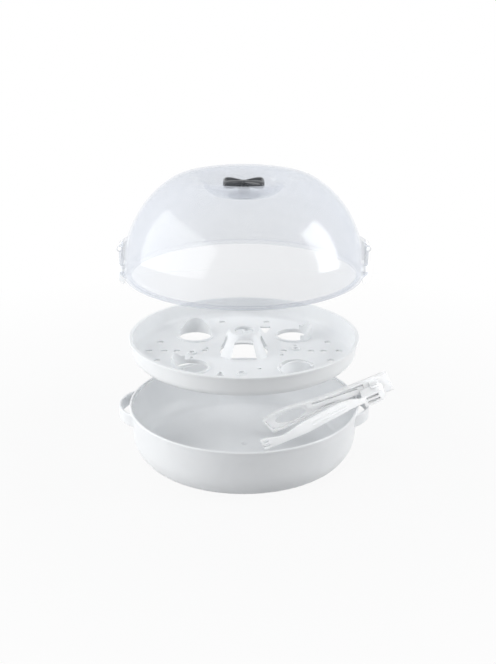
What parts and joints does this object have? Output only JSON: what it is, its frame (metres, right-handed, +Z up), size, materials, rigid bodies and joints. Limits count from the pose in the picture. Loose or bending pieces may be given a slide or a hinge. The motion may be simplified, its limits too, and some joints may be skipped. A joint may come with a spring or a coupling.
{
  "type": "microwave bottle sterilizer",
  "caption": "Round steam sterilizer for baby bottles: a low bowl with ears, a lift-out tray with bottle seats, a clipped dome lid with a turning vent knob, and a pair of tongs.",
  "frame": {"origin": "centre of the flat underside of the bowl, where it stands on the table", "axes": "+Z up; the bowl's two ears and the lid's two clips lie on +X and -X, and the tongs lean out over +X"},
  "size_m": [0.3136, 0.2604, 0.3169],
  "materials": {
    "bowl_plastic": "smooth pale grey moulded plastic",
    "tray_plastic": "smooth pale grey moulded plastic",
    "lid_plastic": "glossy translucent bluish plastic",
    "knob_plastic": "dark grey moulded plastic",
    "shutter_plastic": "dark grey moulded plastic",
    "clip_plastic": "smooth pale grey moulded plastic",
    "tongs_plastic": "cloudy white moulded plastic"
  },
  "bodies": {
    "bowl": {"base_bowl": "bowl_plastic"},
    "tray": {"steam_tray": "tray_plastic"},
    "lid": {"lid_dome": "lid_plastic"},
    "vent": {"vent_knob": "knob_plastic", "vent_shutter": "shutter_plastic"},
    "clip_right": {"right_clip": "clip_plastic"},
    "clip_left": {"left_clip": "clip_plastic"},
    "tongs": {"tongs_back_arm": "tongs_plastic", "tongs_hinge_pin": "tongs_plastic"},
    "tongs_front": {"tongs_front_arm": "tongs_plastic"}
  },
  "joints": [
    {"name": "tray_lift", "type": "slide", "parent": "bowl", "child": "tray", "axis": [0, 0, 1], "range_m": [-0.0817, 0]},
    {"name": "lid_lift", "type": "slide", "parent": "tray", "child": "lid", "axis": [0, 0, 1], "range_m": [-0.072, 0]},
    {"name": "vent_turn", "type": "hinge", "parent": "lid", "child": "vent", "pos_m": [0, 0, 0.2989], "axis": [0, 0, 1], "range_deg": [0, 90]},
    {"name": "right_clip_pivot", "type": "hinge", "parent": "lid", "child": "clip_right", "pos_m": [0.1326, 0, 0.2399], "axis": [0, -1, 0], "range_deg": [0, 22]},
    {"name": "left_clip_pivot", "type": "hinge", "parent": "lid", "child": "clip_left", "pos_m": [-0.1326, 0, 0.2399], "axis": [0, 1, 0], "range_deg": [0, 22]},
    {"name": "tongs_lift", "type": "slide", "parent": "bowl", "child": "tongs", "axis": [0.8526, 0, 0.5225], "range_m": [0, 0.27]},
    {"name": "tongs_squeeze", "type": "hinge", "parent": "tongs", "child": "tongs_front", "pos_m": [0.15094, -0.005, 0.07152], "axis": [-0.4319, 0, 0.9019], "range_deg": [-16, 0]}
  ],
  "couplings": [
    {"joint": "tongs_lift", "follows": "tray_lift", "ratio": -3.3}
  ]
}
